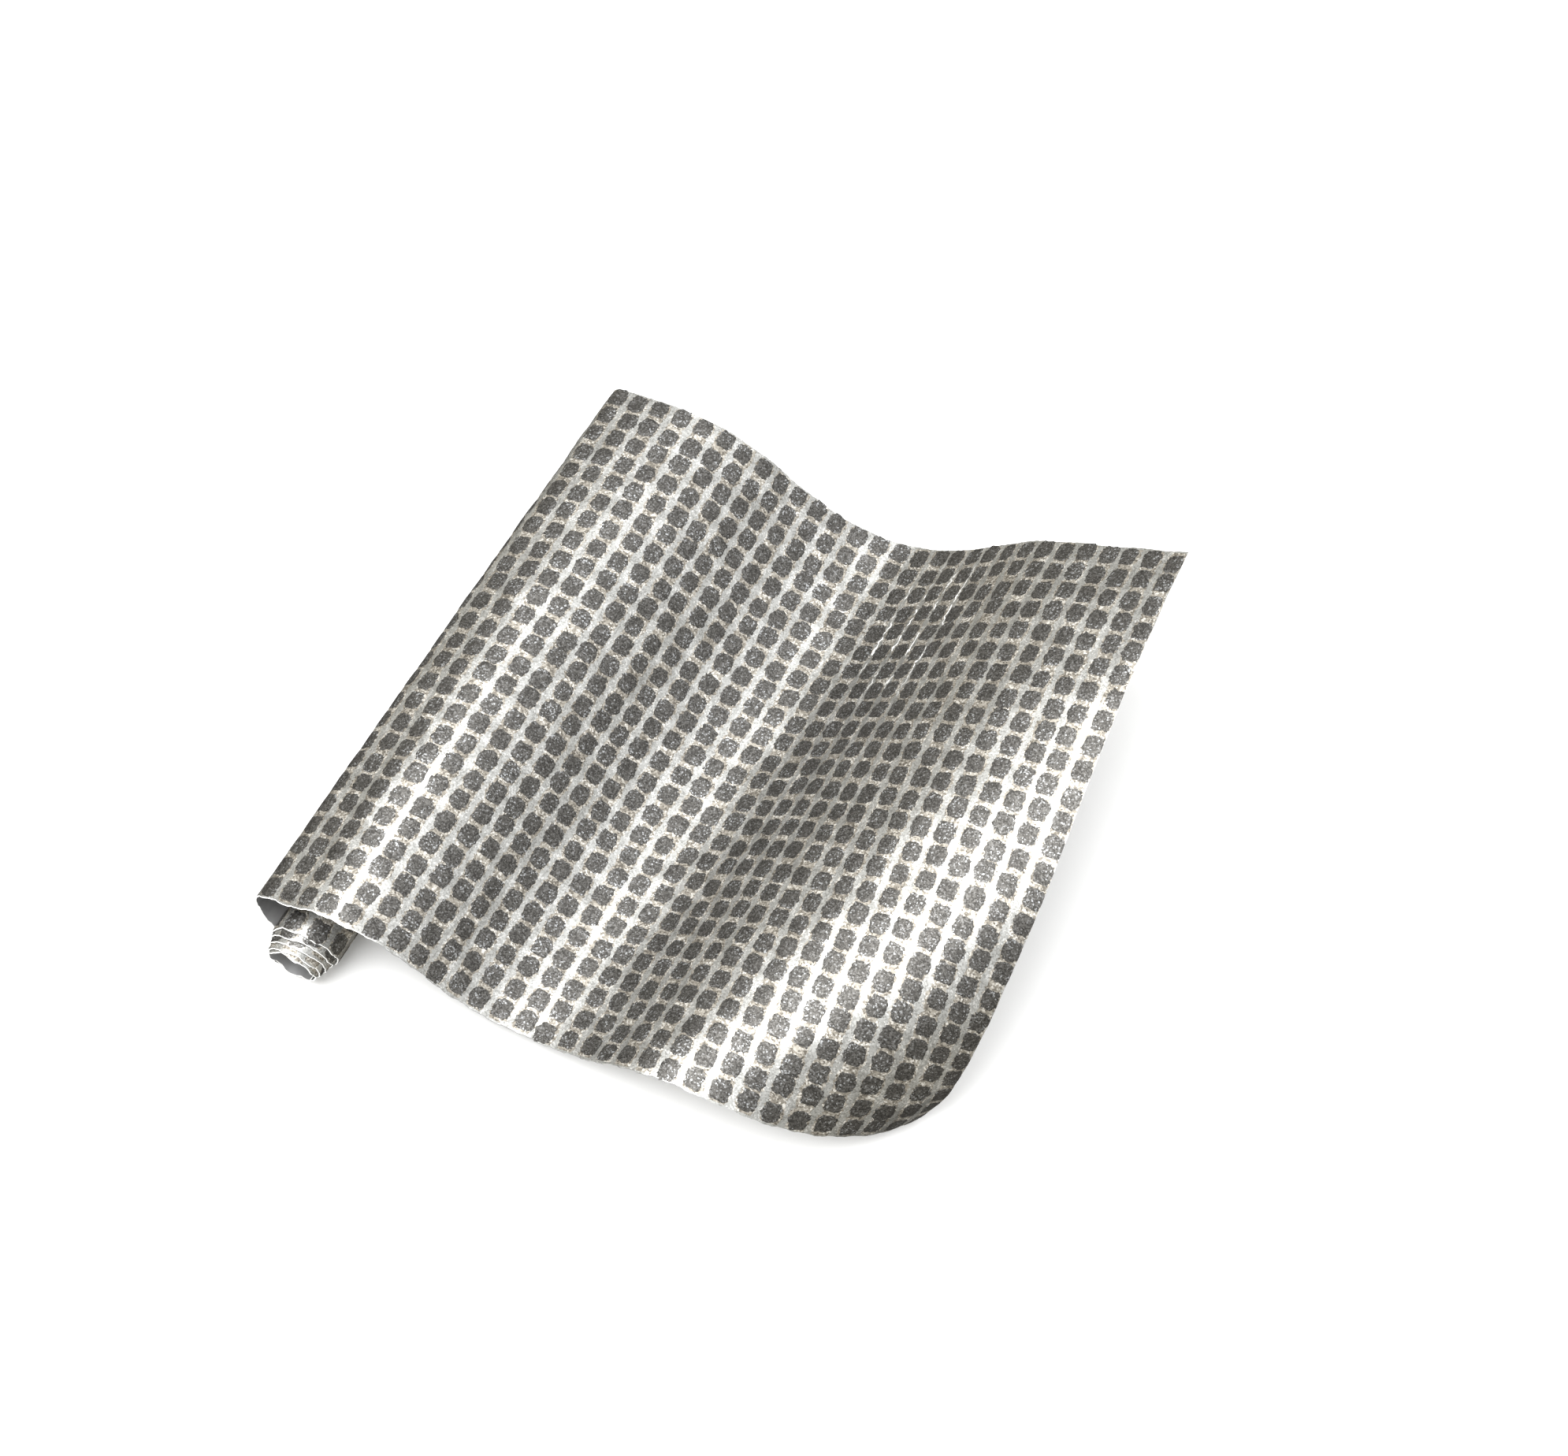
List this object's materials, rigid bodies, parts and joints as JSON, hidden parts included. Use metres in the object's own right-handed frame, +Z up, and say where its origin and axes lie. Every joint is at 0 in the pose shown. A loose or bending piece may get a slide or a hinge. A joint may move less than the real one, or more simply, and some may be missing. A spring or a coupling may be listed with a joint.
{
  "type": "foam sleeping pad",
  "caption": "Thin laminated foam mat lying half unrolled, with rows of anti-slip nubs on a silver face and one end still rolled up.",
  "frame": {"origin": "middle of the pad's footprint, on the surface that it lies on", "axes": "+X along the sheet from the roll to the free end, +Y towards the back edge, +Z up"},
  "size_m": [0.5434, 0.5664, 0.1893],
  "materials": {
    "backing_film": "grey satin film on the plain side of the sheet",
    "foam_core": "white closed-cell foam, seen only as a thin edge",
    "silver_film": "metallised film with a soft pearly shine and a fine grain",
    "nub_strip": "dark grey printed nubs with a fine, slightly sparkling grain"
  },
  "bodies": {
    "roll": {"roll_backing_film": "backing_film", "roll_foam_core": "foam_core", "roll_silver_film": "silver_film", "roll_nub_strip_01": "nub_strip", "roll_nub_strip_02": "nub_strip", "roll_nub_strip_03": "nub_strip", "roll_nub_strip_04": "nub_strip", "roll_nub_strip_05": "nub_strip", "roll_nub_strip_06": "nub_strip", "roll_nub_strip_07": "nub_strip", "roll_nub_strip_08": "nub_strip", "nose_nub_strip_1": "nub_strip", "nose_nub_strip_2": "nub_strip"},
    "lap": {"lap_backing_film": "backing_film", "lap_foam_core": "foam_core", "lap_silver_film": "silver_film", "nose_nub_strip_3": "nub_strip", "nub_strip_02": "nub_strip", "nub_strip_03": "nub_strip", "nub_strip_04": "nub_strip", "nub_strip_05": "nub_strip", "nub_strip_06": "nub_strip", "nub_strip_07": "nub_strip", "nub_strip_08": "nub_strip", "nub_strip_09": "nub_strip", "nub_strip_10": "nub_strip", "nub_strip_11": "nub_strip", "nub_strip_12": "nub_strip"},
    "free_end": {"free_end_backing_film": "backing_film", "free_end_foam_core": "foam_core", "free_end_silver_film": "silver_film", "nub_strip_13": "nub_strip", "nub_strip_14": "nub_strip", "nub_strip_15": "nub_strip", "nub_strip_16": "nub_strip", "nub_strip_17": "nub_strip", "nub_strip_18": "nub_strip", "nub_strip_19": "nub_strip", "nub_strip_20": "nub_strip", "nub_strip_21": "nub_strip", "nub_strip_22": "nub_strip", "nub_strip_23": "nub_strip", "nub_strip_24": "nub_strip", "nub_strip_25": "nub_strip", "nub_strip_26": "nub_strip", "nub_strip_27": "nub_strip", "nub_strip_28": "nub_strip", "nub_strip_29": "nub_strip"}
  },
  "joints": [
    {"name": "lap_lift", "type": "hinge", "parent": "roll", "child": "lap", "pos_m": [-0.23167, 0.2832, 0.04408], "axis": [-0.0767, -0.9971, -0.0036], "range_deg": [0, 100]},
    {"name": "free_end_lift", "type": "hinge", "parent": "lap", "child": "free_end", "pos_m": [-0.00932, 0.28308, 0.00538], "axis": [-0.0554, -0.9979, 0.0343], "range_deg": [0, 70]}
  ]
}
